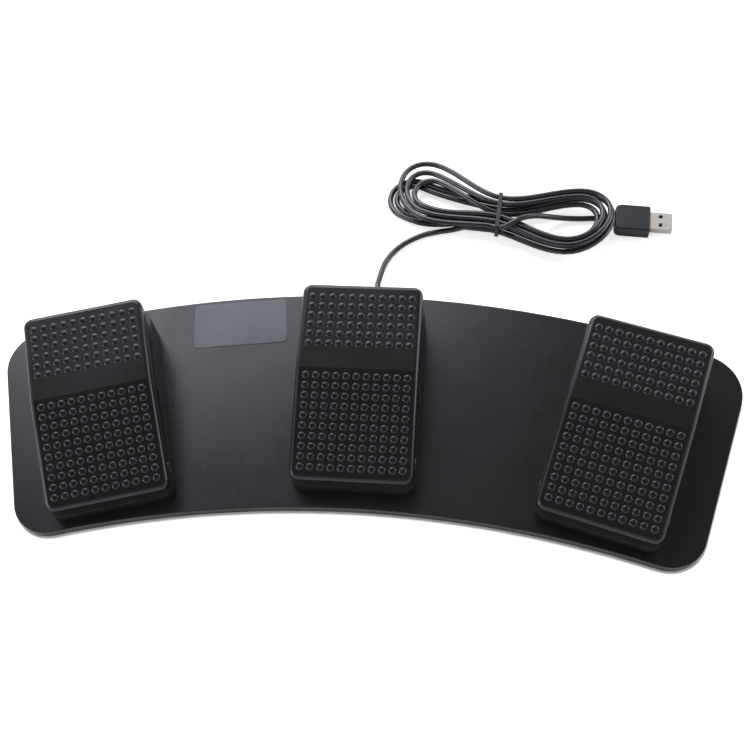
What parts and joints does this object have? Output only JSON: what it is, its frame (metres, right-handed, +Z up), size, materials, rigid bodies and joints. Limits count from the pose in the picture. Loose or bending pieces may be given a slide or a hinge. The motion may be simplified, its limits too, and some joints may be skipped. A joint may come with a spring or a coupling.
{
  "type": "triple foot pedal switch",
  "caption": "Arc-shaped foot switch board with hinged, studded, sprung treadles on a fan, a hank of cable and a USB-A plug.",
  "frame": {"origin": "on the floor, under the middle of the board's box", "axes": "+X to the right along the board's width, +Y to the back where the toe ends and the cable are, +Z up"},
  "size_m": [0.4248, 0.2622, 0.0502],
  "materials": {
    "plate_steel": "satin",
    "cover_plastic": "satin",
    "label_foil": "satin",
    "foot_rubber": "matte",
    "bright_steel": "satin",
    "base_plastic": "satin",
    "treadle_plastic": "satin",
    "switch_plastic": "satin",
    "button_plastic": "gloss",
    "board_laminate": "satin",
    "wire_jacket": "satin",
    "cable_jacket": "satin",
    "tie_plastic": "satin",
    "grip_plastic": "satin",
    "plug_metal": "polished",
    "tongue_plastic": "satin",
    "contact_metal": "polished"
  },
  "bodies": {
    "board": {"base_plate": "plate_steel", "board_cover": "cover_plastic", "rubber_feet": "foot_rubber", "pedal_screws": "bright_steel", "edge_screws": "bright_steel", "left_base": "base_plastic", "left_hinge_pin": "bright_steel", "left_spring": "bright_steel", "left_switch": "switch_plastic", "centre_base": "base_plastic", "centre_hinge_pin": "bright_steel", "centre_spring": "bright_steel", "centre_switch": "switch_plastic", "right_base": "base_plastic", "right_hinge_pin": "bright_steel", "right_spring": "bright_steel", "right_switch": "switch_plastic", "controller_board": "board_laminate", "controller_chip": "switch_plastic", "left_wire": "wire_jacket", "centre_wire": "wire_jacket", "right_wire": "wire_jacket", "inner_cable": "cable_jacket", "strain_relief": "cable_jacket", "cable_lead": "cable_jacket", "cable_hank": "cable_jacket", "cable_tail": "cable_jacket", "hank_tie": "tie_plastic", "plug_grip": "grip_plastic", "plug_shell": "plug_metal", "plug_tongue": "tongue_plastic", "plug_contacts": "contact_metal"},
    "left_treadle": {"left_treadle": "treadle_plastic"},
    "left_button": {"left_button": "button_plastic"},
    "centre_treadle": {"centre_treadle": "treadle_plastic"},
    "centre_button": {"centre_button": "button_plastic"},
    "right_treadle": {"right_treadle": "treadle_plastic"},
    "right_button": {"right_button": "button_plastic"}
  },
  "joints": [
    {"name": "left_hinge", "type": "hinge", "parent": "board", "child": "left_treadle", "pos_m": [-0.13211, -0.04989, 0.022], "axis": [-0.9641, -0.2656, 0], "range_deg": [0, 5.5], "stiffness_Nm_per_rad": 2, "springref_deg": -8.59, "deforming": ["left_spring"]},
    {"name": "left_button_slide", "type": "slide", "parent": "board", "child": "left_button", "axis": [0, 0, -1], "range_m": [0, 0.00188]},
    {"name": "centre_hinge", "type": "hinge", "parent": "board", "child": "centre_treadle", "pos_m": [0, -0.03203, 0.022], "axis": [-1, 0, 0], "range_deg": [0, 5.5], "stiffness_Nm_per_rad": 2, "springref_deg": -8.59, "deforming": ["centre_spring"]},
    {"name": "centre_button_slide", "type": "slide", "parent": "board", "child": "centre_button", "axis": [0, 0, -1], "range_m": [0, 0.00188]},
    {"name": "right_hinge", "type": "hinge", "parent": "board", "child": "right_treadle", "pos_m": [0.13211, -0.04989, 0.022], "axis": [-0.9641, 0.2656, 0], "range_deg": [0, 5.5], "stiffness_Nm_per_rad": 2, "springref_deg": -8.59, "deforming": ["right_spring"]},
    {"name": "right_button_slide", "type": "slide", "parent": "board", "child": "right_button", "axis": [0, 0, -1], "range_m": [0, 0.00188]}
  ],
  "couplings": [
    {"joint": "left_button_slide", "follows": "left_hinge", "m_per_rad": 0.0195},
    {"joint": "centre_button_slide", "follows": "centre_hinge", "m_per_rad": 0.0195},
    {"joint": "right_button_slide", "follows": "right_hinge", "m_per_rad": 0.0195}
  ]
}
